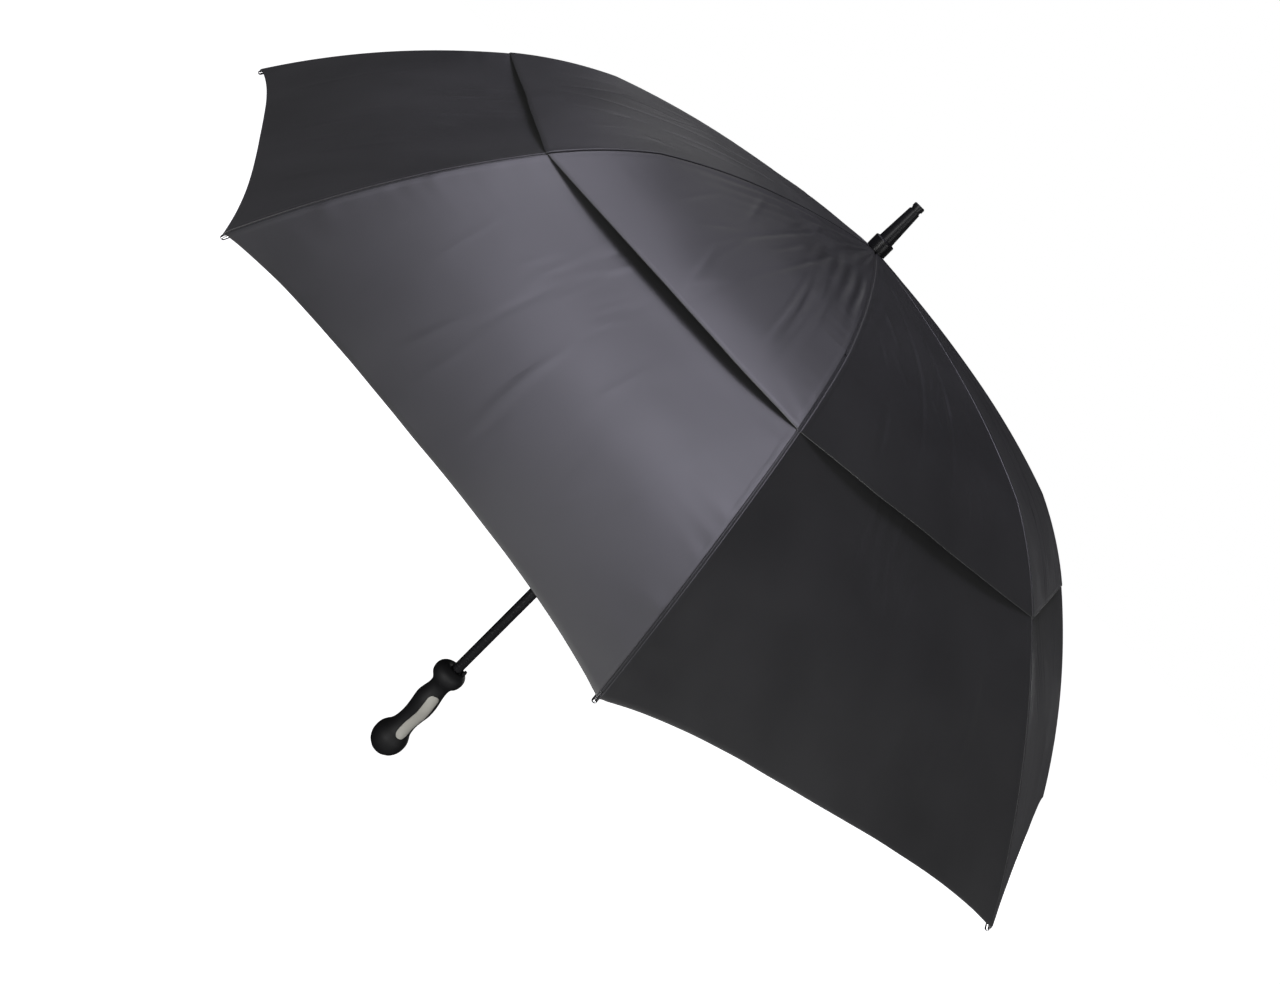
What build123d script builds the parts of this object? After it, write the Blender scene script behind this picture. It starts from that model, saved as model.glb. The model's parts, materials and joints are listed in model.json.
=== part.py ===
"""Double-canopy golf umbrella, shown open.

Millimetres. The origin is the lowest point of the handle's pommel, on the shaft's axis, and +Z runs
up the shaft to the ferrule. Rib 1 points along +X and the eight ribs are 45 degrees apart. Each rib's
pieces are drawn once in the XZ plane, in radius and height, and then turned about the shaft.
"""

from build123d import *
import os
from math import cos, radians, sin, sqrt

os.makedirs("parts", exist_ok=True)

# Whole umbrella
RIBS = 8
RIB_ANGLE = 360 / RIBS
HALF_GORE = RIB_ANGLE / 2
APEX_Z = 914.0  # canopy's crown above the pommel's lowest point
CANOPY_R = 650.0  # shaft's axis to a rib's end
KNEE_R = 346.0  # where the stretcher's bracket holds the rib

# Ridge of the canopy over a rib: circular arcs between stations of (radius, downward slope)
RIDGE_SPANS = (
    ((0.0, 3.4), (200.0, 10.5)),
    ((200.0, 10.5), (KNEE_R, 19.1)),
    ((KNEE_R, 24.0), (460.0, 39.2)),
    ((460.0, 39.2), (CANOPY_R, 53.9)),
)

# Canopy cloth
CLOTH = 0.5
CLOTH_TILT = 25.0  # direction in which the cloth's thickness is laid, from straight down
UPPER_INNER_R = 12.0
UPPER_OUTER_R = 449.2
LOWER_INNER_R = 385.0
LOWER_DROP = 0.9  # the lower canopy lies this far under the upper one
HEM_SCALLOP = 8.9  # how far the hem is cut inward half way between two ribs
HEM_POWER = 3.7  # a high power keeps the hem flat in the middle and steep at the ribs

# Shaft
SHAFT_R = 7.0
SHAFT_WALL = 0.9
SHAFT_FOOT_Z = 30.0
SHAFT_HEAD_Z = APEX_Z + 34.0
SNUG = 0.05  # radial gap between pieces that are fixed together

# Rib frame
ROD_R = 2.0
OUTER_ROD_R = 1.9
ROD_SINK = 5.0  # rod's centreline below the canopy's ridge
INNER_SINK_TILT = 12.0
OUTER_SINK_TILT = 40.0
EYE_R = 2.5
PIN_R = 0.75
PIN_HOLE_R = 0.9
BLADE = 1.8  # thickness of the flat end round an eye
BLADE_RUN = 11.0  # from an eye's centre to where the round rod starts
BLADE_INSET = 0.3  # the blade is this much narrower than the rod where they join
CHEEK_GAP = 2.4
CHEEK = 1.2
CHEEK_R = 3.0
BRACKET_SPAN = 40.0
SLEEVE_R = 3.0
SLEEVE_LENGTH = 14.0
NOTCH_PIVOT = Vector(11.0, APEX_Z - 7.5)
KNEE_PIVOT = Vector(345.0, APEX_Z - 68.0)
STRETCHER_PIVOT = Vector(342.5, APEX_Z - 74.8)
RUNNER_PIVOT = Vector(12.0, APEX_Z - 208.0)
TIP_R = 2.3
TIP_LENGTH = 10.0
TIP_CUP = 6.0

# Folding, which sets how far down the shaft's key slot runs
RIB_FOLD = 78.5

# Notch, the crown that the ribs hang from
NOTCH_R = 14.5
NOTCH_CORE_R = 8.4
NOTCH_TOP = APEX_Z - 2.2
NOTCH_BOTTOM = NOTCH_PIVOT.Y - 7.0
NOTCH_ROOF = 1.0
SLOT_WIDTH = 2.3
WIRE_R = 0.6

# Runner
RUNNER_BORE_R = SHAFT_R + 0.3
RUNNER_SLEEVE_R = 9.0
RUNNER_HEAD_R = 16.0
RUNNER_HEAD_HALF = 6.0
RUNNER_BELOW = 38.0
RUNNER_FLANGE_R = 11.5
RUNNER_FLANGE = 4.0
RUNNER_SLOT = 2.6

# Key: the plunger inside the shaft that the drive spring pushes up
KEY_R = 5.8
KEY_TOP = -4.0
KEY_BOTTOM = -24.0
TONGUE_TOP = -10.0
TONGUE_BOTTOM = -18.0
TONGUE_WIDTH = 2.4
TONGUE_REACH = 8.2
KEY_SLOT_WIDTH = 3.0
KEY_SLOT_SPARE = 1.5

# Drive spring
SPRING_TURNS = 26
SPRING_R = 5.1
SPRING_WIRE_R = 0.7

# Ferrule
FERRULE_COLLAR_R = 13.0
FERRULE_FOOT = 0.2
FERRULE_COLLAR_TOP = 15.5
FERRULE_BASE_R = 9.5
FERRULE_NECK_R = 7.2
FERRULE_TOP = 60.5
FERRULE_BORE_TOP = 35.0
TIP_STUD_R = 4.0
TIP_STUD_DEPTH = 12.0
TIP_NECK_R = 6.0
TIP_NECK_TOP = 63.5
TIP_BUTTON_R = 7.0
TIP_TOP = 69.0
TIP_CHAMFER = 1.0

# Handle: the grip's outline as (radius, height), from the pommel up to the head
GRIP_OUTLINE = (
    (13.4, 2.5),
    (19.8, 9.0),
    (23.6, 17.0),
    (24.6, 25.5),
    (23.8, 33.0),
    (21.0, 39.5),
    (17.9, 45.0),
    (15.6, 53.0),
    (14.8, 63.0),
    (16.0, 80.0),
    (17.5, 100.0),
    (16.0, 115.0),
    (14.1, 128.0),
    (15.6, 138.0),
    (20.5, 145.5),
    (22.4, 152.5),
    (21.4, 159.0),
    (18.0, 163.8),
)
GRIP_FOOT_R = 7.5
GRIP_TOP_R = 13.6
GRIP_TOP_Z = 166.5
CORE_R = 11.0
CORE_FOOT_Z = 16.0
CORE_HEAD_Z = 163.0
CORE_STUD_TOP = 45.0  # the core's stud closes the shaft's lower end
INSERT_BED_R = 12.6
INSERT_LENGTH = 92.0
INSERT_WIDTH = 17.5
INSERT_MID_Z = 75.5
INSERT_AZIMUTHS = (294.0, 66.0)
GRIP_REACH = 30.0  # past the grip's widest section

# Release button, in the head of the handle on the +X side
NUB_X = (9.2, 13.2)
NUB_HALF_Y = 2.8
NUB_TOP_Z = 172.0
FOOT_X = (9.2, 17.6)
FOOT_HALF_Y = 4.6
FOOT_Z = (156.0, 161.5)
LEG_X = (15.6, 17.6)
LEG_BOTTOM_Z = 146.5
BUTTON_TRAVEL = 1.8
BUTTON_GAP = 0.5
ROOM_OVERLAP = 0.5  # the button's room is cut this far into the bore, and flattens the core
BUTTON_SPRING_Z = 150.5
BUTTON_SPRING_R = 2.0
BUTTON_WIRE_R = 0.25
BUTTON_SPRING_TURNS = 3


def ridge(r):
    """Height of the canopy's ridge at radius r."""
    z = APEX_Z
    for (r0, slope0), (r1, slope1) in RIDGE_SPANS:
        if r <= r0:
            break
        sine0, sine1 = sin(radians(slope0)), sin(radians(slope1))
        bend_r = (r1 - r0) / (sine1 - sine0)
        sine = sine0 + (min(r, r1) - r0) / bend_r
        z -= bend_r * (cos(radians(slope0)) - sqrt(1 - sine**2))
    return z


def below(depth, tilt):
    """A move of depth towards the underside, tilt degrees from straight down."""
    return Vector(-depth * sin(radians(tilt)), -depth * cos(radians(tilt)))


def ridge_point(r, move):
    return Vector(r, ridge(r)) + move


def flat(point):
    """A point's radius and height, as a BuildLine's plane reads them."""
    return (point.X, point.Y)


def ridge_arcs(start_r, end_r, move):
    """Arcs that follow the ridge from start_r to end_r, all moved by move, in the open BuildLine."""
    for (r0, _), (r1, _) in RIDGE_SPANS:
        a, b = max(r0, start_r), min(r1, end_r)
        if b - a > 1e-6:
            ThreePointArc(*(flat(ridge_point(r, move)) for r in (a, (a + b) / 2, b)))


def save(shape, name):
    shape.label = name
    export_step(shape, f"parts/{name}.step")


def save_around(shape, name):
    """One copy of a rib's piece for each rib."""
    for n in range(RIBS):
        save(shape.rotate(Axis.Z, n * RIB_ANGLE), f"{name}_{n + 1}")


# ---------------------------------------------------------------- canopy
def canopy_strip(inner_r, outer_r, drop, scallop):
    """The cloth each side of rib 1, out to the middle of its two gores. The cloth is flat across
    a gore, so each half is the ridge's curve moved straight across the gore."""
    top = below(drop, CLOTH_TILT)
    bottom = below(drop + CLOTH, CLOTH_TILT)
    across = Vector(-sin(radians(HALF_GORE)), cos(radians(HALF_GORE)))
    middle = Vector(cos(radians(HALF_GORE)), sin(radians(HALF_GORE)))
    half_width = outer_r * sin(radians(HALF_GORE))
    middle_r = outer_r * cos(radians(HALF_GORE))
    hem = [
        middle * (middle_r - scallop * (1 - share**HEM_POWER)) - across * (half_width * share)
        for share in (0, 0.3, 0.6, 0.8, 0.92, 1)
    ]
    with BuildPart() as strip:
        with BuildSketch(Plane.XZ):
            with BuildLine():
                for depth in (top, bottom):
                    ridge_arcs(inner_r, outer_r, depth)
                for r in (inner_r, outer_r):
                    Line(ridge_point(r, top), ridge_point(r, bottom))
            make_face()
        extrude(amount=half_width * 1.05, dir=across)
        with BuildSketch(Plane.XY.offset(ridge(outer_r) - 10)):
            with BuildLine():
                if scallop:
                    Spline(*hem)
                    Polyline(hem[-1], (0, 0), hem[0])
                else:
                    Polyline((0, 0), (outer_r * 1.1, 0), middle * (outer_r * 1.1), close=True)
            make_face()
        extrude(amount=APEX_Z - ridge(outer_r) + 20, mode=Mode.INTERSECT)
        mirror(about=Plane.XZ)
    return strip.part


save_around(canopy_strip(UPPER_INNER_R, UPPER_OUTER_R, 0, 0), "upper_canopy")
save_around(canopy_strip(LOWER_INNER_R, CANOPY_R, LOWER_DROP, HEM_SCALLOP), "lower_canopy")


# ---------------------------------------------------------------- rib frame
def round_rod(path, radius):
    """A round rod along the wire of an open BuildLine, added to the open BuildPart."""
    with BuildSketch(Plane(origin=path @ 0, z_dir=path % 0)) as section:
        Circle(radius)
    sweep(section.sketch, path=path)


def flat_end(eye, rod_start, rod_radius):
    """A flat blade from an eye to where the round rod starts, with the eye's hole cut later."""
    with BuildSketch(Plane.XZ) as blade:
        with Locations(eye):
            Circle(EYE_R)
        with Locations(rod_start):
            Circle(rod_radius - BLADE_INSET)
        make_hull()
    extrude(blade.sketch, amount=BLADE / 2, both=True)


def cross_hole(at, radius):
    """A hole along Y through everything in the open BuildPart."""
    with BuildSketch(Plane.XZ) as hole:
        with Locations(at):
            Circle(radius)
    extrude(hole.sketch, amount=CHEEK_R * 2, both=True, mode=Mode.SUBTRACT)


def cross_pin(at):
    """A pin along Y through both cheeks of the bracket."""
    with BuildPart() as pin:
        with BuildSketch(Plane.XZ):
            with Locations(at):
                Circle(PIN_R)
        extrude(amount=CHEEK_GAP / 2 + CHEEK, both=True)
    return pin.part


inner_sink = below(ROD_SINK, INNER_SINK_TILT)
outer_sink = below(ROD_SINK, OUTER_SINK_TILT)
inner_rod_start = NOTCH_PIVOT.X + BLADE_RUN
inner_rod_end = KNEE_PIVOT.X - EYE_R - 2.5
outer_rod_start = KNEE_PIVOT.X + BLADE_RUN

with BuildPart() as inner_rod:
    with BuildLine(Plane.XZ) as path:
        ridge_arcs(inner_rod_start, inner_rod_end, inner_sink)
    round_rod(path.wire(), ROD_R)
    flat_end(NOTCH_PIVOT, ridge_point(inner_rod_start + 1, inner_sink), ROD_R)
    cross_hole(NOTCH_PIVOT, PIN_HOLE_R)

# The bracket is crimped round the rod's end and carries the pins of the outer rib and the stretcher
with BuildPart() as bracket:
    with BuildSketch(Plane.XZ):
        for at in (ridge_point(inner_rod_end, inner_sink), KNEE_PIVOT, STRETCHER_PIVOT):
            with Locations(at):
                Circle(CHEEK_R)
        make_hull()
    extrude(amount=CHEEK_GAP / 2 + CHEEK, both=True)
    with BuildSketch(Plane.XZ):
        with Locations(KNEE_PIVOT):
            Rectangle(BRACKET_SPAN, BRACKET_SPAN)
    extrude(amount=CHEEK_GAP / 2, both=True, mode=Mode.SUBTRACT)
    with BuildLine(Plane.XZ) as crimp:
        ridge_arcs(inner_rod_end - SLEEVE_LENGTH, inner_rod_end, inner_sink)
    round_rod(crimp.wire(), SLEEVE_R)
    with BuildSketch(Plane(origin=crimp.wire() @ 0, z_dir=crimp.wire() % 0)):
        Circle(ROD_R)
    sweep(path=crimp.wire(), mode=Mode.SUBTRACT)
    for at in (KNEE_PIVOT, STRETCHER_PIVOT):
        cross_hole(at, PIN_R)

inner_rib = [inner_rod.part, bracket.part, cross_pin(KNEE_PIVOT), cross_pin(STRETCHER_PIVOT)]
save_around(Compound(children=inner_rib), "inner_rib")

with BuildPart() as outer_rib:
    with BuildLine(Plane.XZ) as path:
        ridge_arcs(outer_rod_start, CANOPY_R, outer_sink)
    round_rod(path.wire(), OUTER_ROD_R)
    flat_end(KNEE_PIVOT, ridge_point(outer_rod_start + 1, outer_sink), OUTER_ROD_R)
    cross_hole(KNEE_PIVOT, PIN_HOLE_R)
save_around(outer_rib.part, "outer_rib")

# A metal cup over the rod's end, with a rounded nose
with BuildPart() as rib_tip:
    with BuildSketch(Plane(origin=path.wire() @ 1, z_dir=path.wire() % 1)):
        Circle(TIP_R)
    extrude(amount=TIP_LENGTH - TIP_CUP)
    extrude(rib_tip.faces().sort_by(Axis.Z)[-1], amount=TIP_CUP)
    fillet(rib_tip.edges().sort_by(Axis.Z)[0], radius=TIP_R * 0.8)
    with BuildSketch(Plane(origin=path.wire() @ 1, z_dir=path.wire() % 1)):
        Circle(OUTER_ROD_R + SNUG)
    extrude(amount=-TIP_CUP * 1.2, mode=Mode.SUBTRACT)
save_around(rib_tip.part, "rib_tip")

with BuildPart() as stretcher:
    run = (RUNNER_PIVOT - STRETCHER_PIVOT).normalized() * BLADE_RUN
    with BuildLine(Plane.XZ) as path:
        Line(flat(STRETCHER_PIVOT + run), flat(RUNNER_PIVOT - run))
    round_rod(path.wire(), ROD_R)
    flat_end(STRETCHER_PIVOT, STRETCHER_PIVOT + run * 1.1, ROD_R)
    flat_end(RUNNER_PIVOT, RUNNER_PIVOT - run * 1.1, ROD_R)
    cross_hole(STRETCHER_PIVOT, PIN_HOLE_R)
    cross_hole(RUNNER_PIVOT, PIN_HOLE_R)
save_around(stretcher.part, "stretcher")

# ---------------------------------------------------------------- shaft, key and springs
stretcher_arm = STRETCHER_PIVOT - NOTCH_PIVOT
stretcher_length = (RUNNER_PIVOT - STRETCHER_PIVOT).length
folded_knee = NOTCH_PIVOT + stretcher_arm.rotate(Axis.Z, -RIB_FOLD)
folded_drop = sqrt(stretcher_length**2 - (folded_knee.X - RUNNER_PIVOT.X) ** 2)
runner_folded_z = folded_knee.Y - folded_drop
runner_travel = RUNNER_PIVOT.Y - runner_folded_z

slot_top = RUNNER_PIVOT.Y + TONGUE_TOP + KEY_SLOT_SPARE
slot_bottom = runner_folded_z + TONGUE_BOTTOM - KEY_SLOT_SPARE
with BuildPart() as shaft_tube:
    with BuildSketch(Plane.XY.offset(SHAFT_FOOT_Z)):
        Circle(SHAFT_R)
        Circle(SHAFT_R - SHAFT_WALL, mode=Mode.SUBTRACT)
    extrude(amount=SHAFT_HEAD_Z - SHAFT_FOOT_Z)
    with BuildSketch(Plane.XZ):
        with Locations((0, (slot_top + slot_bottom) / 2)):
            Rectangle(KEY_SLOT_WIDTH, slot_top - slot_bottom)
    extrude(amount=-SHAFT_R * 2, mode=Mode.SUBTRACT)
save(shaft_tube.part, "shaft_tube")

with BuildPart() as runner_key:
    with BuildSketch(Plane.XY.offset(RUNNER_PIVOT.Y + KEY_BOTTOM)):
        Circle(KEY_R)
    extrude(amount=KEY_TOP - KEY_BOTTOM)
    with BuildSketch(Plane.XY.offset(RUNNER_PIVOT.Y + TONGUE_BOTTOM)):
        with Locations((0, TONGUE_REACH / 2)):
            Rectangle(TONGUE_WIDTH, TONGUE_REACH)
    extrude(amount=TONGUE_TOP - TONGUE_BOTTOM)
save(runner_key.part, "runner_key")

spring_height = RUNNER_PIVOT.Y + KEY_BOTTOM - CORE_STUD_TOP - 2 * SPRING_WIRE_R
with BuildPart() as drive_spring:
    with BuildLine() as coil:
        Helix(
            pitch=spring_height / SPRING_TURNS,
            height=spring_height,
            radius=SPRING_R,
            center=(0, 0, CORE_STUD_TOP + SPRING_WIRE_R),
        )
    with BuildSketch(Plane(origin=coil.wire() @ 0, z_dir=coil.wire() % 0)):
        Circle(SPRING_WIRE_R)
    sweep(path=coil.wire(), is_frenet=True)
save(drive_spring.part, "drive_spring")

# ---------------------------------------------------------------- notch and runner
def rib_slots(inner_r, outer_r, width, bottom, top):
    """One slot for each rib, cut out of the open BuildPart."""
    with BuildSketch(Plane.XY.offset(bottom)) as slots:
        with PolarLocations((inner_r + outer_r) / 2, RIBS):
            Rectangle(outer_r - inner_r, width)
    extrude(slots.sketch, amount=top - bottom, mode=Mode.SUBTRACT)


with BuildPart() as wire_ring:
    with BuildSketch(Plane.XZ):
        with Locations(NOTCH_PIVOT):
            Circle(WIRE_R)
    revolve(axis=Axis.Z)

with BuildPart() as notch_body:
    with BuildSketch(Plane.XY.offset(NOTCH_BOTTOM)):
        Circle(NOTCH_R)
        Circle(SHAFT_R + SNUG, mode=Mode.SUBTRACT)
    extrude(amount=NOTCH_TOP - NOTCH_BOTTOM)
    fillet(notch_body.edges().group_by(SortBy.LENGTH)[-1], radius=0.8)
    rib_slots(NOTCH_CORE_R, NOTCH_R * 1.2, SLOT_WIDTH, NOTCH_BOTTOM, NOTCH_TOP - NOTCH_ROOF)
    add(wire_ring.part, mode=Mode.SUBTRACT)
save(Compound(children=[notch_body.part, wire_ring.part]), "notch")

runner_bottom = RUNNER_PIVOT.Y - RUNNER_BELOW
head_bottom = RUNNER_PIVOT.Y - RUNNER_HEAD_HALF
head_top = RUNNER_PIVOT.Y + RUNNER_HEAD_HALF
with BuildPart() as runner:
    with BuildSketch(Plane.XY.offset(runner_bottom)):
        Circle(RUNNER_SLEEVE_R)
    extrude(amount=head_bottom - runner_bottom)
    with BuildSketch(Plane.XY.offset(runner_bottom)):
        Circle(RUNNER_FLANGE_R)
    extrude(amount=RUNNER_FLANGE)
    with BuildSketch(Plane.XY.offset(head_bottom)):
        Circle(RUNNER_HEAD_R)
    extrude(amount=head_top - head_bottom)
    fillet(runner.edges().group_by(SortBy.LENGTH)[-1], radius=1.2)
    rib_slots(RUNNER_SLEEVE_R, RUNNER_HEAD_R * 1.2, RUNNER_SLOT, head_bottom, head_top)
    with BuildSketch(Plane.XY.offset(runner_bottom)):
        Circle(RUNNER_BORE_R)
    extrude(amount=head_top - runner_bottom, mode=Mode.SUBTRACT)
    add(runner_key.part, mode=Mode.SUBTRACT)
save(runner.part, "runner")

# ---------------------------------------------------------------- ferrule
with BuildPart() as ferrule:
    with BuildSketch(Plane.XZ):
        with BuildLine():
            Polyline(
                (SHAFT_R + SNUG, APEX_Z + FERRULE_FOOT),
                (FERRULE_COLLAR_R, APEX_Z + FERRULE_FOOT),
                (FERRULE_COLLAR_R, APEX_Z + FERRULE_COLLAR_TOP),
                (FERRULE_BASE_R, APEX_Z + FERRULE_COLLAR_TOP + 1),
                (FERRULE_NECK_R, APEX_Z + FERRULE_TOP),
                (TIP_STUD_R, APEX_Z + FERRULE_TOP),
                (TIP_STUD_R, APEX_Z + FERRULE_TOP - TIP_STUD_DEPTH),
                (0, APEX_Z + FERRULE_TOP - TIP_STUD_DEPTH),
                (0, APEX_Z + FERRULE_BORE_TOP),
                (SHAFT_R + SNUG, APEX_Z + FERRULE_BORE_TOP),
                close=True,
            )
        make_face()
    revolve(axis=Axis.Z)
    collar_rims = ferrule.edges().group_by(SortBy.LENGTH)[-1]
    fillet(collar_rims.sort_by(Axis.Z)[-1], radius=1.5)
save(ferrule.part, "ferrule")

with BuildPart() as ferrule_tip:
    with BuildSketch(Plane.XZ):
        with BuildLine():
            Polyline(
                (0, APEX_Z + FERRULE_TOP - TIP_STUD_DEPTH),
                (TIP_STUD_R, APEX_Z + FERRULE_TOP - TIP_STUD_DEPTH),
                (TIP_STUD_R, APEX_Z + FERRULE_TOP),
                (TIP_NECK_R, APEX_Z + FERRULE_TOP),
                (TIP_NECK_R, APEX_Z + TIP_NECK_TOP),
                (TIP_BUTTON_R, APEX_Z + TIP_NECK_TOP),
                (TIP_BUTTON_R, APEX_Z + TIP_TOP - TIP_CHAMFER),
                (TIP_BUTTON_R - TIP_CHAMFER, APEX_Z + TIP_TOP),
                (0, APEX_Z + TIP_TOP),
                close=True,
            )
        make_face()
    revolve(axis=Axis.Z)
save(ferrule_tip.part, "ferrule_tip")

# ---------------------------------------------------------------- handle and release button
def box_between(x, half_y, z, mode=Mode.ADD):
    """A box from x[0] to x[1] and z[0] to z[1], half_y each side of the XZ plane."""
    with BuildSketch(Plane.XZ) as side:
        with Locations(((x[0] + x[1]) / 2, (z[0] + z[1]) / 2)):
            Rectangle(x[1] - x[0], z[1] - z[0])
    extrude(side.sketch, amount=half_y, both=True, mode=mode)


def button_room():
    """The hollow in the handle's head that the button slides in, cut out of the open BuildPart."""
    near_shaft = SHAFT_R - ROOM_OVERLAP
    box_between(
        (near_shaft, FOOT_X[1] + BUTTON_GAP),
        FOOT_HALF_Y + BUTTON_GAP,
        (FOOT_Z[0] - BUTTON_GAP, FOOT_Z[1] + BUTTON_GAP),
        Mode.SUBTRACT,
    )
    box_between(
        (CORE_R - ROOM_OVERLAP, LEG_X[1] + BUTTON_GAP),
        FOOT_HALF_Y + BUTTON_GAP,
        (LEG_BOTTOM_Z - BUTTON_GAP, FOOT_Z[0]),
        Mode.SUBTRACT,
    )
    box_between(
        (near_shaft, NUB_X[1] + BUTTON_GAP),
        NUB_HALF_Y + BUTTON_GAP,
        (FOOT_Z[1], NUB_TOP_Z),
        Mode.SUBTRACT,
    )


with BuildPart() as handle_core:
    with BuildSketch(Plane.XY.offset(CORE_FOOT_Z)):
        Circle(CORE_R)
    extrude(amount=CORE_HEAD_Z - CORE_FOOT_Z)
    with BuildSketch(Plane.XY.offset(SHAFT_FOOT_Z)):
        Circle(SHAFT_R + SNUG)
    extrude(amount=CORE_HEAD_Z - SHAFT_FOOT_Z, mode=Mode.SUBTRACT)
    with BuildSketch(Plane.XY.offset(CORE_FOOT_Z)):
        Circle(SHAFT_R - SHAFT_WALL - SNUG)
    extrude(amount=CORE_STUD_TOP - CORE_FOOT_Z)
    button_room()
save(handle_core.part, "handle_core")


with BuildPart() as grip_outside:
    with BuildSketch(Plane.XZ):
        with BuildLine():
            Spline((GRIP_FOOT_R, 0), *GRIP_OUTLINE, (GRIP_TOP_R, GRIP_TOP_Z))
            Polyline((GRIP_FOOT_R, 0), (0, 0), (0, GRIP_TOP_Z), (GRIP_TOP_R, GRIP_TOP_Z))
        make_face()
    revolve(axis=Axis.Z)

# The space of the two inserts, from the bed that they lie on outwards
with BuildPart() as insert_space:
    for azimuth in INSERT_AZIMUTHS:
        outward = (cos(radians(azimuth)), sin(radians(azimuth)), 0)
        with BuildSketch(Plane(origin=(0, 0, INSERT_MID_Z), x_dir=(0, 0, 1), z_dir=outward)):
            SlotOverall(INSERT_LENGTH, INSERT_WIDTH)
        extrude(amount=GRIP_REACH)
    Cylinder(INSERT_BED_R, APEX_Z, mode=Mode.SUBTRACT)

with BuildPart() as grip_inserts:
    add(grip_outside.part)
    add(insert_space.part, mode=Mode.INTERSECT)
save(grip_inserts.part, "grip_inserts")

with BuildPart() as grip:
    add(grip_outside.part)
    with BuildSketch(Plane.XY.offset(CORE_FOOT_Z)):
        Circle(CORE_R)
    extrude(amount=CORE_HEAD_Z - CORE_FOOT_Z, mode=Mode.SUBTRACT)
    with BuildSketch(Plane.XY.offset(CORE_HEAD_Z)):
        Circle(SHAFT_R + SNUG)
    extrude(amount=SHAFT_R, mode=Mode.SUBTRACT)
    add(insert_space.part, mode=Mode.SUBTRACT)
    button_room()
save(grip.part, "grip")

with BuildPart() as release_button:
    box_between(NUB_X, NUB_HALF_Y, (FOOT_Z[0], NUB_TOP_Z))
    fillet(release_button.edges().group_by(Axis.Z)[-1], radius=1.0)
    box_between(FOOT_X, FOOT_HALF_Y, FOOT_Z)
    box_between(LEG_X, FOOT_HALF_Y, (LEG_BOTTOM_Z, FOOT_Z[1]))
save(release_button.part, "release_button")

button_spring_x = (CORE_R - ROOM_OVERLAP + BUTTON_WIRE_R, LEG_X[0] - BUTTON_WIRE_R)
button_spring_length = button_spring_x[1] - button_spring_x[0]
with BuildPart() as button_spring:
    with BuildLine() as coil:
        Helix(
            pitch=button_spring_length / BUTTON_SPRING_TURNS,
            height=button_spring_length,
            radius=BUTTON_SPRING_R,
            center=(button_spring_x[0], 0, BUTTON_SPRING_Z),
            direction=(1, 0, 0),
        )
    with BuildSketch(Plane(origin=coil.wire() @ 0, z_dir=coil.wire() % 0)):
        Circle(BUTTON_WIRE_R)
    sweep(path=coil.wire(), is_frenet=True)
save(button_spring.part, "button_spring")
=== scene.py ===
"""Double-canopy golf umbrella, open: the looks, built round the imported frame.

Everything is in metres in the frame's own axes: +Z runs up the shaft from the pommel, rib 1 points
along +X, and the eight ribs are 45 degrees apart.
"""

import json
import math
from random import Random

import bpy
from mathutils import Matrix, Vector, noise


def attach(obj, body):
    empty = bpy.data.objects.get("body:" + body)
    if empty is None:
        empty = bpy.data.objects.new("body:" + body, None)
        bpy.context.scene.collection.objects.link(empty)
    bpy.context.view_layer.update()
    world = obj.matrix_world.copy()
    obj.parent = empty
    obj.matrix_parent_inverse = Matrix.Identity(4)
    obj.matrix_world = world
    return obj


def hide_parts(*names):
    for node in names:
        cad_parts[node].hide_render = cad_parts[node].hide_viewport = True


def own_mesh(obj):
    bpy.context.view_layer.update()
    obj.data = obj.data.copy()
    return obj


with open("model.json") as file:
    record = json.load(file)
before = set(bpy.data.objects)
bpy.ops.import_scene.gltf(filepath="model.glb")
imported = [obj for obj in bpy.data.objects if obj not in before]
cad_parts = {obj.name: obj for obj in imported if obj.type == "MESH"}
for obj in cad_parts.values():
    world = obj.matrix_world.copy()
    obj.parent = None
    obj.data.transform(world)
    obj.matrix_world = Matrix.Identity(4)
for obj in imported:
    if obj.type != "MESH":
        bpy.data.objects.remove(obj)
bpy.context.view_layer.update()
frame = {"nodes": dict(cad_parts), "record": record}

RIBS = 8
HALF_GORE = math.pi / RIBS
APEX_Z = 0.914

# Ridge of the canopy over a rib: circular arcs between stations of (radius, downward slope in degrees)
RIDGE_SPANS = (
    ((0.0, 3.4), (0.200, 10.5)),
    ((0.200, 10.5), (0.346, 19.1)),
    ((0.346, 24.0), (0.460, 39.2)),
    ((0.460, 39.2), (0.650, 53.9)),
)
KNEE_R = 0.346
KNEE_ROUND = 0.08
KNEE_BEND = math.tan(math.radians(24.0)) - math.tan(math.radians(19.1))
UPPER_INNER_R = 0.012
UPPER_OUTER_R = 0.4492
LOWER_INNER_R = 0.385
CANOPY_R = 0.650
LOWER_DROP = 0.0009
HEM_SCALLOP = 0.0089
HEM_POWER = 3.7
HEM_MIDDLE_R = CANOPY_R * math.cos(HALF_GORE) - HEM_SCALLOP
VENT_GAP = 0.0135  # how far the lower canopy hangs under the upper hem, half way between two ribs
SEAM_GAP = 0.0009  # from the seam to where the cloth either side of it turns under
SEAM_TURN = 0.0004  # width over which it turns under
SEAM_GROOVE = 0.0005
SEAM_EDGE = 0.0003
SEAM_WIDTH = 0.009
SEAM_COLUMNS = 10  # mesh columns beside the seam, closer together toward it
PANEL_COLUMNS = 64  # mesh columns over the rest of the half gore
HEM_FOLD = 0.006  # the hem is folded under by this much
HEM_ROLL = 0.0011
CREASES = 16
CREASE_WIDTH = 0.0034
CREASE_BOW = 0.5
SLACKNESS = (0.6, 0.3, 0.8, 0.5, 0.15, 1.0, 0.15, 0.4)  # how loosely each gore's upper cloth hangs
TAPE_HALF_WIDTH = 0.007
TAPE_COLUMNS = 8
TAPE_ROWS = 60
TAPE_SINK = 0.0016
SHAFT_R = 0.007
VENT_REACH = 0.12  # radius over which the lower canopy comes back up to its ridge's level


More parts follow.
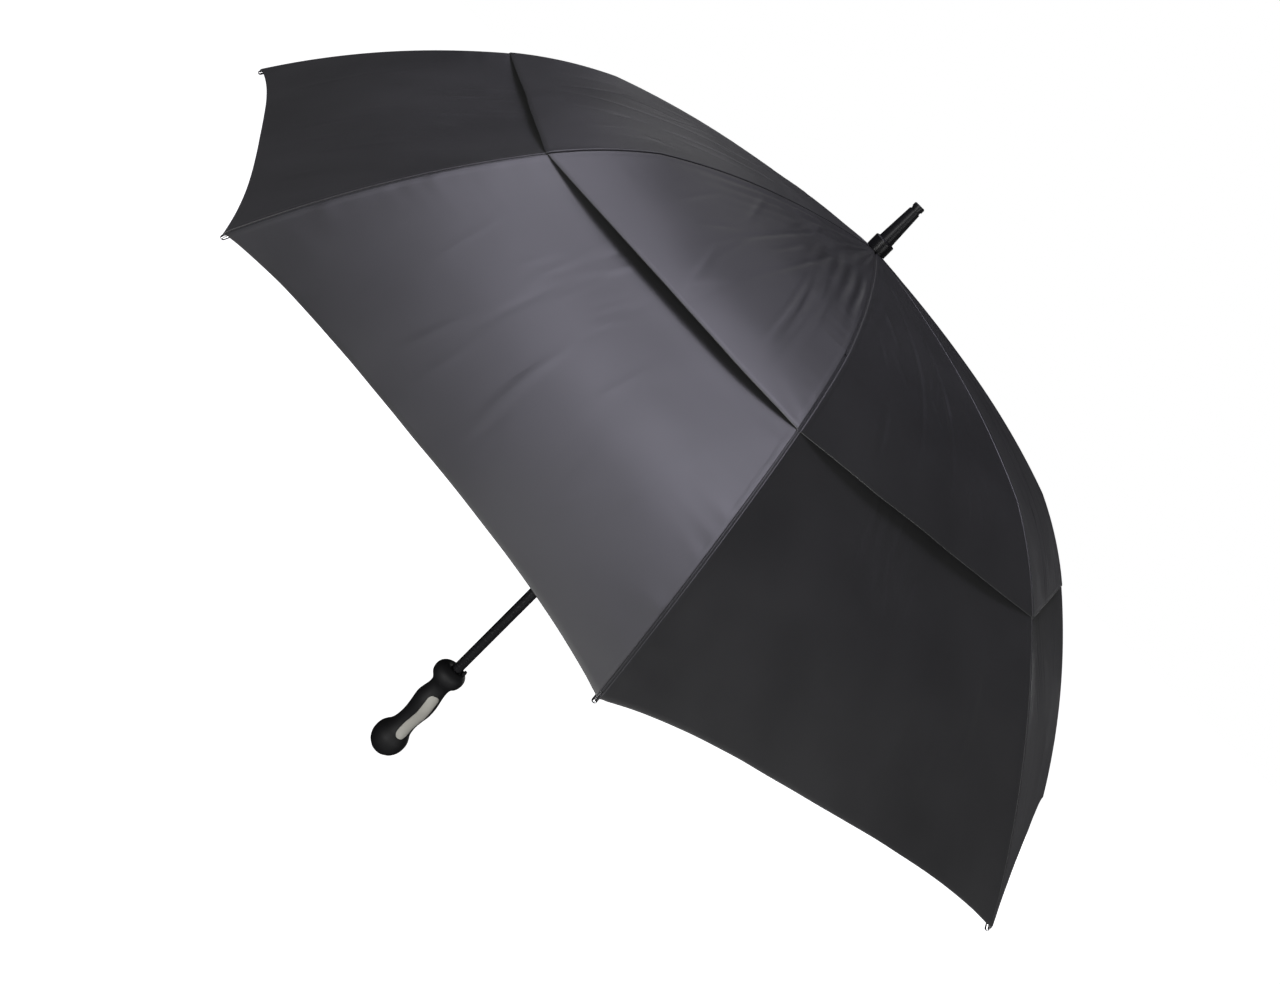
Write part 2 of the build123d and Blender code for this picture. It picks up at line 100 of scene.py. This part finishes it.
# ---------------------------------------------------------------- materials
def new_material(name, colour, roughness, **sockets):
    """A Principled material with plain values, and the tree to add texture to."""
    material = bpy.data.materials.new(name)
    material.use_nodes = True
    shader = material.node_tree.nodes["Principled BSDF"]
    shader.inputs["Base Color"].default_value = (*colour, 1)
    shader.inputs["Roughness"].default_value = roughness
    for socket, value in sockets.items():
        shader.inputs[socket.replace("_", " ")].default_value = value
    return material, material.node_tree, shader


def object_noise(tree, scale, detail=3.0, stretch=(1, 1, 1)):
    """Noise in the object's own coordinates."""
    place = tree.nodes.new("ShaderNodeTexCoord")
    mapping = tree.nodes.new("ShaderNodeMapping")
    mapping.inputs["Scale"].default_value = stretch
    texture = tree.nodes.new("ShaderNodeTexNoise")
    texture.inputs["Scale"].default_value = scale
    texture.inputs["Detail"].default_value = detail
    tree.links.new(place.outputs["Object"], mapping.inputs["Vector"])
    tree.links.new(mapping.outputs["Vector"], texture.inputs["Vector"])
    return texture.outputs["Fac"]


def vary(tree, source, low, high, target):
    """Drives a shader socket from low to high with source."""
    spread = tree.nodes.new("ShaderNodeMapRange")
    spread.inputs["From Min"].default_value = 0.3
    spread.inputs["From Max"].default_value = 0.7
    spread.inputs["To Min"].default_value = low
    spread.inputs["To Max"].default_value = high
    tree.links.new(source, spread.inputs["Value"])
    tree.links.new(spread.outputs["Result"], target)


def tint(tree, source, dark, light, target):
    """Drives a colour socket from dark to light with source."""
    ramp = tree.nodes.new("ShaderNodeValToRGB")
    ramp.color_ramp.elements[0].position = 0.3
    ramp.color_ramp.elements[0].color = (*dark, 1)
    ramp.color_ramp.elements[1].position = 0.7
    ramp.color_ramp.elements[1].color = (*light, 1)
    tree.links.new(source, ramp.inputs["Fac"])
    tree.links.new(ramp.outputs["Color"], target)


def bump(tree, shader, source, strength, distance):
    node = tree.nodes.new("ShaderNodeBump")
    node.inputs["Strength"].default_value = strength
    node.inputs["Distance"].default_value = distance
    tree.links.new(source, node.inputs["Height"])
    tree.links.new(node.outputs["Normal"], shader.inputs["Normal"])


def cloth_material():
    material, tree, shader = new_material(
        "canopy_pongee", (0.022, 0.022, 0.023), 0.42, Specular_IOR_Level=0.9, Sheen_Weight=0.05,
        Sheen_Roughness=0.45,
    )
    patches = object_noise(tree, 9, 4)
    tint(tree, patches, (0.020, 0.020, 0.021), (0.025, 0.025, 0.026), shader.inputs["Base Color"])
    vary(tree, patches, 0.38, 0.45, shader.inputs["Roughness"])
    bump(tree, shader, object_noise(tree, 1400, 2), 0.12, 0.0003)
    return material


def rubber_material():
    material, tree, shader = new_material("grip_rubber", (0.009, 0.009, 0.010), 0.6, Specular_IOR_Level=0.3)
    grain = object_noise(tree, 900, 3)
    vary(tree, grain, 0.56, 0.66, shader.inputs["Roughness"])
    tint(tree, object_noise(tree, 30, 3), (0.007, 0.007, 0.008), (0.011, 0.011, 0.012),
         shader.inputs["Base Color"])
    bump(tree, shader, grain, 0.15, 0.0002)
    return material


def plain_material(name, colour, roughness, grain_scale, depth, **sockets):
    """A moulded or metal surface with a little unevenness in its gloss and colour."""
    material, tree, shader = new_material(name, colour, roughness, **sockets)
    grain = object_noise(tree, grain_scale, 3)
    vary(tree, grain, roughness * 0.88, roughness * 1.12, shader.inputs["Roughness"])
    darker = [c * 0.88 for c in colour]
    lighter = [min(1, c * 1.1) for c in colour]
    tint(tree, object_noise(tree, grain_scale / 12, 2), darker, lighter, shader.inputs["Base Color"])
    bump(tree, shader, grain, depth, 0.0002)
    return material


MATERIALS = {
    "canopy_cloth": cloth_material(),
    "grip_rubber": rubber_material(),
    "black_plastic": plain_material("black_plastic", (0.011, 0.011, 0.012), 0.36, 500, 0.02,
                                     Specular_IOR_Level=0.35),
    "grip_insert": plain_material("grip_insert", (0.45, 0.44, 0.40), 0.42, 400, 0.08),
    "shaft": plain_material("shaft_enamel", (0.020, 0.020, 0.022), 0.26, 300, 0.03, Metallic=0.3),
    "spring_steel": plain_material("spring_steel", (0.55, 0.55, 0.56), 0.28, 800, 0.03, Metallic=1.0),
    "rib_frame": plain_material("rib_frame", (0.028, 0.028, 0.030), 0.34, 600, 0.05),
    "rib_tip": plain_material("rib_tip_nickel", (0.72, 0.72, 0.74), 0.22, 500, 0.02, Metallic=1.0),
}


def finish_piece(piece, body, slot_name):
    """Gives a new piece its material and slot, and puts it on its body."""
    piece.data.materials.append(MATERIALS[slot_name])
    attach(piece, body)


def mesh_piece(name, points, faces):
    mesh = bpy.data.meshes.new(name)
    mesh.from_pydata(points, [], faces)
    mesh.shade_smooth()
    piece = bpy.data.objects.new(name, mesh)
    bpy.context.collection.objects.link(piece)
    return piece


# ---------------------------------------------------------------- canopy
def ridge_height(r):
    """The canopy's height at radius r, over a rib."""
    z = APEX_Z
    for (r0, slope0), (r1, slope1) in RIDGE_SPANS:
        if r <= r0:
            break
        sine0 = math.sin(math.radians(slope0))
        sine1 = math.sin(math.radians(slope1))
        bend_r = (r1 - r0) / (sine1 - sine0)
        sine = sine0 + (min(r, r1) - r0) / bend_r
        z -= bend_r * (math.cos(math.radians(slope0)) - math.sqrt(1 - sine * sine))
    return z


def smooth(value, start, end):
    """0 before start, 1 after end, and smooth between them."""
    t = min(1.0, max(0.0, (value - start) / (end - start)))
    return t * t * (3 - 2 * t)


def ripple(x, y, seed):
    """Smooth noise from about -1 to 1 at a point of a plane."""
    return noise.noise(Vector((x, y, seed)))


def crease_lines(gore, upper):
    """Fold lines left by packing, as (distance out, distance across, direction, half length, height)."""
    random = Random(900 + gore + (RIBS if upper else 0))
    lines = []
    if upper:
        # two long pulls out of the crown
        for aside in (-0.014, 0.026):
            out, lean = random.uniform(0.24, 0.27), aside * 90
            lines.append((out, aside, lean, random.uniform(0.16, 0.19), -0.0007))
        # a bundle of slack lines beside one of the ribs
        for n in range(6):
            aside = 0.47 + 0.045 * n
            out = random.uniform(0.28, 0.34)
            height = (0.0007 if n % 2 else -0.0009) * SLACKNESS[gore]
            lines.append((out, aside * out * math.tan(HALF_GORE), random.uniform(19, 25), 0.085, height))
    for n in range(CREASES if upper else 2 * CREASES):
        if upper:
            out, lean = random.uniform(0.12, 0.42), random.uniform(-25, 25)
            aside = random.uniform(-0.7, 0.7)
        elif n % 3:
            out, lean = random.uniform(0.44, 0.60), random.gauss(-4, 16)
            aside = random.uniform(-0.85, 0.85)
        else:
            # pulls under the middle of the vent
            out, lean = random.uniform(0.41, 0.47), random.gauss(-4, 10)
            aside = random.uniform(-0.35, 0.15)
        length = random.uniform(0.02, 0.055)
        height = random.choice((-1, 1)) * random.uniform(0.0003, 0.0007)
        lines.append((out, aside * out * math.tan(HALF_GORE), lean, length, height))
    return [
        (out, aside, math.radians(lean), length, height) for out, aside, lean, length, height in lines
    ]


CREASE_LINES = {
    (gore, upper): crease_lines(gore, upper) for gore in range(RIBS) for upper in (True, False)
}


def creases(along, across, gore, upper):
    """The fold lines' height at a point of a gore, measured out from the shaft and across from the
    gore's middle."""
    rise = 0.0
    for out, aside, lean, length, height in CREASE_LINES[gore, upper]:
        u = (along - out) * math.cos(lean) + (across - aside) * math.sin(lean)
        if abs(u) >= length:
            continue
        v = (across - aside) * math.cos(lean) - (along - out) * math.sin(lean) + CREASE_BOW * u * u
        if abs(v) < 4 * CREASE_WIDTH:
            rise += height * (1 - (u / length) ** 2) ** 2 * math.exp(-((v / CREASE_WIDTH) ** 2))
    return rise


def relief(r, s, share, gore, side, upper):
    """How far the cloth stands above its plain surface. r is the radius along the rib, s the distance
    from the rib's seam, and share runs from 0 at the seam to 1 half way across the gore."""
    along = r * math.cos(HALF_GORE)
    across = side * (s - r * math.sin(HALF_GORE))
    # the seam: the two gores turn down toward it, and the edge of the seam allowance shows through
    rise = -SEAM_GROOVE * (1 - smooth(s, 0.0005, 0.0022))
    rise -= (TAPE_SINK + 0.0002) * (1 - smooth(s, SEAM_GAP, SEAM_GAP + SEAM_TURN))
    rise += SEAM_EDGE * (smooth(s, 0.0012, 0.0026) - smooth(s, 0.0050, 0.0085))
    # puckers that run out from the seam
    puckers = math.exp(-s / 0.022) * smooth(s, 0.002, 0.008)
    rise += (0.0006 if upper else 0.0012) * puckers * ripple(r / 0.011, s / 0.04, 3 + 7 * gore)
    # soft hollows in the panel, none at the seams
    panel = smooth(share, 0.0, 0.5)
    rise += (0.0020 if upper else 0.0009) * panel * ripple(along / 0.11, across / 0.11, 11.3 + gore)
    rise += 0.0004 * panel * ripple(along / 0.04, across / 0.04, 23.3 + gore)
    near_hem = smooth(along, HEM_MIDDLE_R - 0.04, HEM_MIDDLE_R - 0.005)
    rise += panel * (1 - near_hem) * creases(along, across, gore, upper)
    if upper:
        # the bend over the ribs' brackets is rounded off between the ribs
        near_knee = max(0.0, 1 - abs(r - KNEE_R) / KNEE_ROUND)
        rise -= KNEE_BEND * KNEE_ROUND / 4 * near_knee**2 * smooth(share, 0.0, 0.35)
        # pull lines that fan out from the crown
        angle = across / max(along, 0.02)
        fan = smooth(r, 0.02, 0.07) * (1 - smooth(r, 0.15, 0.28)) * smooth(share, 0.0, 0.3)
        rise += 0.0014 * SLACKNESS[gore] * fan * ripple(angle * 12, r / 0.15, 31.7 + gore)
        # slack beside a rib, in long ripples along it
        slack = smooth(r, 0.06, 0.12) * (1 - smooth(r, 0.27, 0.34)) * smooth(s, 0.004, 0.010)
        wave = math.sin(2 * math.pi * s / 0.017 + 3 * ripple(r / 0.12, 0.5, gore))
        wave *= 0.5 + ripple(r / 0.09, side, gore)
        rise += 0.0015 * SLACKNESS[gore] * slack * math.exp(-s / 0.035) * wave
    return rise


def vent_dip(r, share):
    """How far the lower canopy hangs below the upper one's hem."""
    across = 1 - (1 - share) ** 3
    return VENT_GAP * across * (1 - smooth(r, UPPER_OUTER_R + 0.003, UPPER_OUTER_R + VENT_REACH))


def lower_hem(share):
    """Radius along the rib at which the lower canopy ends."""
    return CANOPY_R - HEM_SCALLOP / math.cos(HALF_GORE) * (1 - (1 - share) ** HEM_POWER)


def upper_hem(share):
    """Radius at which the upper canopy ends, the same all the way across."""
    return UPPER_OUTER_R


def knee(share):
    """Radius of the ribs' brackets, where the crown's strips end."""
    return KNEE_R


def half_strip(name, rib, side, inner_r, hem, drop, rows, upper, folded):
    """A mesh of the cloth on one side of a rib, out to the middle of its gore."""
    azimuth = rib * 2 * HALF_GORE
    gore = (rib if side > 0 else rib - 1) % RIBS
    cos_a, sin_a = math.cos(azimuth), math.sin(azimuth)
    points = []
    columns = SEAM_COLUMNS + PANEL_COLUMNS
    for j in range(columns + 1):
        spread = max(0, j - SEAM_COLUMNS) / PANEL_COLUMNS
        beside = SEAM_GAP + (SEAM_WIDTH - SEAM_GAP) * (min(j, SEAM_COLUMNS) / SEAM_COLUMNS) ** 1.6
        beside *= 1 - spread
        outer_r = hem(spread + beside / (hem(0) * math.sin(HALF_GORE)))
        line = []
        for i in range(rows + 1):
            line.append((inner_r + (outer_r - inner_r) * i / rows, 0.0))
        if folded:
            line += [(outer_r + 0.0003, HEM_ROLL * 0.5), (outer_r - 0.0006, HEM_ROLL)]
            line += [(outer_r - HEM_FOLD * 0.5, HEM_ROLL), (outer_r - HEM_FOLD, HEM_ROLL * 0.8)]
        for r, under in line:
            half_width = r * math.sin(HALF_GORE)
            s = spread * half_width + beside * min(1, half_width / 0.03)
            x = r - math.sin(HALF_GORE) * s
            y = side * math.cos(HALF_GORE) * s
            share = s / half_width
            z = ridge_height(r) - drop - under
            z += relief(r, s, share, gore, side, upper)
            if not upper:
                z -= vent_dip(r, share)
            points.append((x * cos_a - y * sin_a, x * sin_a + y * cos_a, z))
    per_column = len(points) // (columns + 1)
    faces = []
    for j in range(columns):
        for i in range(per_column - 1):
            a = j * per_column + i
            quad = (a, a + 1, a + 1 + per_column, a + per_column)
            faces.append(quad if side > 0 else quad[::-1])
    return mesh_piece(name, points, faces)


# Where each kind of strip sits, and how its fold lies when the umbrella is closed. The fold's axis
# is turned from straight across the rib by fold_turn, in the plane across a rib of slope fold_slope.
# The folds' values are fitted so that neighbouring strips meet between two ribs in the closed pose.
STRIPS = (
    dict(kind="upper_crown", inner_r=UPPER_INNER_R, hem=knee, drop=0.0, rows=80, upper=True,
         folded=False, body="inner_rib", replaces="upper_canopy", fold_turn=9.2, fold_slope=-1.0,
         fold_offset=-0.0175, keep=0.178),
    dict(kind="upper_skirt", inner_r=KNEE_R, hem=upper_hem, drop=0.0, rows=26, upper=True,
         folded=True, body="outer_rib", replaces=None, fold_turn=21.0, fold_slope=34.0,
         fold_offset=-0.0012, keep=0.096),
    dict(kind="lower", inner_r=LOWER_INNER_R, hem=lower_hem, drop=LOWER_DROP, rows=96, upper=False,
         folded=True, body="outer_rib", replaces="lower_canopy", fold_turn=16.6, fold_slope=40.7,
         fold_offset=-0.0075, keep=0.10),
)


def fold_up(piece, strip, rib, side):
    """Works out the axis and anchor of the strip's fold between the ribs, and gives the piece a mesh of its
    own; the axis and anchor are not used further.
    """
    slope, turn = math.radians(strip["fold_slope"]), math.radians(strip["fold_turn"])
    outward = Vector((math.sin(slope), 0, math.cos(slope)))
    axis = Vector((0, side * math.cos(turn), 0)) - outward * math.sin(turn)
    middle_r = (strip["inner_r"] + strip["hem"](1)) / 2
    anchor = Vector((middle_r, 0, ridge_height(middle_r))) + outward * strip["fold_offset"]
    spin = Matrix.Rotation(rib * 2 * HALF_GORE, 3, "Z")
    axis, anchor = tuple(spin @ axis), tuple(spin @ anchor)
    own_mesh(piece)


def build_canopy():
    for strip in STRIPS:
        for rib in range(RIBS):
            for side, letter in ((1, "a"), (-1, "b")):
                name = f"{strip['kind']}_{rib + 1}{letter}"
                piece = half_strip(name, rib, side, strip["inner_r"], strip["hem"], strip["drop"],
                                   strip["rows"], strip["upper"], strip["folded"])
                finish_piece(piece, f"{strip['body']}_{rib + 1}", "canopy_cloth")
                if strip["replaces"]:
                    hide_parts(f"{strip['replaces']}_{rib + 1}")
                fold_up(piece, strip, rib, side)
                outer_r = strip["hem"](0)


def build_seam_tape(body, rib, inner_r, outer_r, drop):
    """The seam allowance under a ridge, which stays with its rib when the cloth gathers."""
    points, faces = [], []
    for i in range(TAPE_ROWS + 1):
        r = inner_r + (outer_r - inner_r) * i / TAPE_ROWS
        for k in range(TAPE_COLUMNS + 1):
            s = TAPE_HALF_WIDTH * (2 * k / TAPE_COLUMNS - 1)
            s *= min(1, r * math.sin(HALF_GORE) / (1.5 * TAPE_HALF_WIDTH))
            z = ridge_height(r) - drop - TAPE_SINK
            points.append((r - math.sin(HALF_GORE) * abs(s), math.cos(HALF_GORE) * s, z))
    for i in range(TAPE_ROWS):
        for k in range(TAPE_COLUMNS):
            a = i * (TAPE_COLUMNS + 1) + k
            faces.append((a, a + TAPE_COLUMNS + 1, a + TAPE_COLUMNS + 2, a + 1))
    tape = mesh_piece(f"seam_tape_{body}_{rib + 1}", points, faces)
    tape.data.transform(Matrix.Rotation(rib * 2 * HALF_GORE, 4, "Z"))
    finish_piece(tape, f"{body}_{rib + 1}", "canopy_cloth")


def build_crown_cap():
    """The washer between the notch and the cloth's middle."""
    around = 64
    radii = (SHAFT_R, 0.0118, 0.0124, 0.0124, SHAFT_R)
    heights = (-0.0004, -0.0006, -0.0009, -0.0018, -0.0018)
    points, faces = [], []
    for radius, height in zip(radii, heights):
        for k in range(around):
            turn = 2 * math.pi * k / around
            points.append((radius * math.cos(turn), radius * math.sin(turn), APEX_Z + height))
    for i in range(len(radii) - 1):
        for k in range(around):
            a, b = i * around + k, i * around + (k + 1) % around
            faces.append((a, a + around, b + around, b))
    finish_piece(mesh_piece("crown_cap", points, faces), "shaft", "black_plastic")


build_canopy()
for rib in range(RIBS):
    build_seam_tape("inner_rib", rib, 0.016, KNEE_R, 0.0)
    build_seam_tape("outer_rib", rib, KNEE_R, CANOPY_R - 0.004, LOWER_DROP)
build_crown_cap()


# ---------------------------------------------------------------- handle
# The grip's sections from the pommel up: (height, radius, offset towards +X), in millimetres, rounded
# from measurements of its outline
GRIP_SECTIONS = (
    (0, 7.5, 0), (2.5, 13.4, 0), (9, 19.8, 0), (17, 23.6, 0), (25.5, 24.6, 0), (33, 23.8, 0),
    (39.5, 21, 0), (45, 17.9, 0.3), (52, 15.9, 0.7), (62, 14.8, 1), (74, 15.2, 1.5), (86, 16.6, 1.7),
    (97, 17.4, 0.8), (107, 17.3, -0.3), (117, 15.6, -0.6), (127, 14.1, -0.6), (135, 14.5, -1),
    (140.5, 17, -1.9), (146, 21, -2.4), (152.5, 22.4, -2.5), (158.5, 21.6, -2.3), (163, 18.6, -1.8),
    (166.5, 13, -1),
)
INSERT_AZIMUTHS = (294, 66)
INSERT_HALF_WIDTH = 0.0088
INSERT_ENDS = (0.041, 0.1235)
INSERT_PROUD = 0.0005
MM = 0.001


def grip_section(z):
    """The grip's radius and sideways offset at height z, on smooth curves through the sections."""
    heights = [h * MM for h, _, _ in GRIP_SECTIONS]
    i = max(0, min(len(heights) - 2, sum(1 for h in heights if h <= z) - 1))
    t = (z - heights[i]) / (heights[i + 1] - heights[i])
    values = []
    for column in (1, 2):
        at = [GRIP_SECTIONS[max(0, min(len(heights) - 1, i + k))][column] * MM for k in (-1, 0, 1, 2)]
        p0, p1, p2, p3 = at
        bend = 2 * p1 + (p2 - p0) * t + (2 * p0 - 5 * p1 + 4 * p2 - p3) * t * t
        values.append((bend + (3 * p1 - p0 - 3 * p2 + p3) * t**3) / 2)
    return values


def skin_point(z, azimuth, proud=0.0):
    radius, offset = grip_section(z)
    radius += proud
    return (offset + radius * math.cos(azimuth), radius * math.sin(azimuth), z)


def build_grip():
    """The rubber grip, with its slight S-bend, open at the top round the shaft and the button."""
    around, up = 96, 110
    top = GRIP_SECTIONS[-1][0] * MM
    rings = []
    for i in range(up + 1):
        rings.append([skin_point(top * i / up, 2 * math.pi * k / around) for k in range(around)])
    # the top face dips to the shaft, and leaves the button's slot open on the +X side
    lip = []
    for k in range(around):
        azimuth = 2 * math.pi * k / around
        beside_button = abs(math.sin(azimuth)) * 0.0135 < 0.0034 and math.cos(azimuth) > 0
        radius = 0.0138 if beside_button else 0.0074
        lip.append((radius * math.cos(azimuth), radius * math.sin(azimuth), top + 0.0002))
    inside = [(x, y, top - 0.006) for x, y, _ in lip]
    rings += [lip, inside]
    points = [point for ring in rings for point in ring] + [(0, 0, 0)]
    faces = []
    for i in range(len(rings) - 1):
        for k in range(around):
            a, b = i * around + k, i * around + (k + 1) % around
            faces.append((a, b, b + around, a + around))
    faces += [(len(points) - 1, (k + 1) % around, k) for k in range(around)]
    grip = mesh_piece("grip_shell", points, faces)
    finish_piece(grip, "shaft", "grip_rubber")
    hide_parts("grip")


def build_inserts():
    """The two grey inserts: long rounded plates that follow the grip's skin and stand just proud."""
    rows, columns = 48, 18
    low, high = INSERT_ENDS
    points, faces = [], []
    for azimuth in INSERT_AZIMUTHS:
        start = len(points)
        for i in range(rows + 1):
            z = low + (high - low) * i / rows
            near_end = min(z - low, high - z) / 0.009
            width = math.sqrt(max(0.0, 1 - (1 - min(1, near_end)) ** 2))
            for k in range(columns + 1):
                share = 2 * k / columns - 1
                edge = max(abs(share), 1 - min(1, near_end * 3))
                proud = INSERT_PROUD * (1 - edge**8) - 0.0006 * edge**8
                reach = math.asin(INSERT_HALF_WIDTH / grip_section(z)[0])
                angle = math.radians(azimuth) + reach * width * share
                points.append(skin_point(z, angle, proud))
        for i in range(rows):
            for k in range(columns):
                a = start + i * (columns + 1) + k
                faces.append((a, a + 1, a + columns + 2, a + columns + 1))
    inserts = mesh_piece("insert_plates", points, faces)
    finish_piece(inserts, "shaft", "grip_insert")
    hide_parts("grip_inserts")


build_grip()
build_inserts()


# ---------------------------------------------------------------- springs, copied from the frame's coils
# Each spring's joint, the direction that it shortens in, its fixed end and its share of length at the limit
SPRINGS = (
    ("drive_spring", "drive_coil", "runner_slide", (0, 0, 1), (0, 0, 0.045), 0.224),
    ("button_spring", "button_coil", "button_press", (1, 0, 0), (0.0105, 0, 0), 0.64),
)
for node, name, joint, direction, fixed_end, keep in SPRINGS:
    coil = bpy.data.objects.new(name, frame["nodes"][node].data.copy())
    bpy.context.collection.objects.link(coil)
    coil.data.materials.clear()
    finish_piece(coil, "shaft", "spring_steel")
    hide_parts(node)
    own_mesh(coil)


# ---------------------------------------------------------------- CAD pieces keep their shape
def finish_cad_pieces():
    """Each CAD piece that shows takes the material of its slot."""
    slots = {part["node"]: part["material_slot"] for part in frame["record"]["subparts"]}
    for node, piece in frame["nodes"].items():
        if piece.hide_render:
            continue
        piece.data.materials.clear()
        piece.data.materials.append(MATERIALS[slots[node]])
        piece.data.polygons.foreach_set("use_smooth", [True] * len(piece.data.polygons))
        smooth_by_angle(piece)


def smooth_by_angle(piece, angle=32):
    """Sharp edges stay sharp and round faces look round."""
    mesh = piece.data
    limit = math.cos(math.radians(angle))
    normals = [polygon.normal.copy() for polygon in mesh.polygons]
    faces_of = {}
    for polygon in mesh.polygons:
        for key in polygon.edge_keys:
            faces_of.setdefault(key, []).append(polygon.index)
    sharp = [False] * len(mesh.edges)
    for edge in mesh.edges:
        pair = faces_of.get(tuple(sorted(edge.vertices)), [])
        sharp[edge.index] = len(pair) != 2 or normals[pair[0]].dot(normals[pair[1]]) < limit
    attribute = mesh.attributes.get("sharp_edge") or mesh.attributes.new("sharp_edge", "BOOLEAN", "EDGE")
    attribute.data.foreach_set("value", sharp)


finish_cad_pieces()


# ---------------------------------------------------------------- floor, lights and camera
def build_floor():
    """A white floor that takes no part in the lighting."""
    bpy.ops.mesh.primitive_plane_add(size=12, location=(0, 0, -0.0005))
    floor = bpy.context.object
    floor.name = "floor"
    material, _, shader = new_material("floor", (0.9, 0.9, 0.9), 0.9)
    shader.inputs["Emission Color"].default_value = (1, 1, 1, 1)
    shader.inputs["Emission Strength"].default_value = 1.0
    floor.data.materials.append(material)
    floor.visible_diffuse = False
    floor.visible_glossy = False
    floor.visible_shadow = False


def area_light(name, place, target, size, power, colour):
    data = bpy.data.lights.new(name, "AREA")
    data.shape = "DISK"
    data.size = size
    data.energy = power
    data.color = colour
    lamp = bpy.data.objects.new(name, data)
    lamp.location = place
    lamp.rotation_euler = (Vector(target) - Vector(place)).to_track_quat("-Z", "Y").to_euler()
    bpy.context.collection.objects.link(lamp)


WORLD_LIGHT = 0.012


def build_world():
    """White to look at, and dimmer as a light."""
    world = bpy.data.worlds.new("studio")
    bpy.context.scene.world = world
    world.use_nodes = True
    nodes, links = world.node_tree.nodes, world.node_tree.links
    lit = nodes["Background"]
    lit.inputs["Color"].default_value = (1, 1, 1, 1)
    lit.inputs["Strength"].default_value = WORLD_LIGHT
    seen = nodes.new("ShaderNodeBackground")
    seen.inputs["Color"].default_value = (1, 1, 1, 1)
    seen.inputs["Strength"].default_value = 1.0
    path = nodes.new("ShaderNodeLightPath")
    mix = nodes.new("ShaderNodeMixShader")
    links.new(path.outputs["Is Camera Ray"], mix.inputs["Fac"])
    links.new(lit.outputs["Background"], mix.inputs[1])
    links.new(seen.outputs["Background"], mix.inputs[2])
    links.new(mix.outputs["Shader"], nodes["World Output"].inputs["Surface"])


# The camera, from in front and above and rolled to the left. Its place, its two axes and its lens are
# fitted values.
CAMERA_PLACE = Vector((-0.2078, -1.5102, 0.9891))
CAMERA_RIGHT = Vector((0.72884, 0.10990, 0.67580))
CAMERA_UP = Vector((-0.67159, 0.30682, 0.67441))
CAMERA_LENS = 36.68  # on a sensor 36 wide


def build_camera():
    back = CAMERA_RIGHT.cross(CAMERA_UP)
    turn = Matrix((CAMERA_RIGHT, CAMERA_UP, back)).transposed()
    data = bpy.data.cameras.new("camera")
    data.sensor_width = 36
    data.lens = CAMERA_LENS
    data.clip_start = 0.01
    camera = bpy.data.objects.new("camera", data)
    camera.matrix_world = Matrix.Translation(CAMERA_PLACE) @ turn.to_4x4()
    bpy.context.collection.objects.link(camera)
    bpy.context.scene.camera = camera


build_floor()
build_world()
build_camera()
SUBJECT = Vector((0, -0.2, 0.72))
COOL = (0.86, 0.83, 1.0)
NEUTRAL = (1.0, 1.0, 0.99)
LIGHTS = (
    # name, azimuth and elevation as seen from the canopy, distance, size, power, colour
    ("key", 212, 60, 2.4, 1.7, 14, COOL),
    ("overhead", 225, 75, 2.4, 1.2, 11, COOL),
    ("front", 247.5, 20, 2.4, 1.2, 7.5, NEUTRAL),
    ("low_front", 247.5, -10, 2.2, 1.0, 25, NEUTRAL),
    ("low_right", 310, -10, 2.4, 1.2, 19, NEUTRAL),
    ("back_left", 150, 50, 2.4, 1.0, 9, COOL),
    ("behind", 110, 35, 2.4, 1.0, 1.4, NEUTRAL),
    ("handle_side", 262, -16, 1.9, 0.5, 4, NEUTRAL),
    ("crown", 92, 60, 2.4, 0.9, 1.6, COOL),
    ("far_side", 20, 15, 3.0, 1.6, 1.4, NEUTRAL),
    ("back", 65, -12, 2.6, 1.4, 14, NEUTRAL),
)
for light, azimuth, elevation, distance, size, power, colour in LIGHTS:
    azimuth, elevation = math.radians(azimuth), math.radians(elevation)
    toward = Vector((math.cos(azimuth), math.sin(azimuth), 0)) * math.cos(elevation)
    place = SUBJECT + (toward + Vector((0, 0, math.sin(elevation)))) * distance
    area_light(light, place, SUBJECT, size, power, colour)
bpy.context.scene.view_settings.view_transform = "Standard"
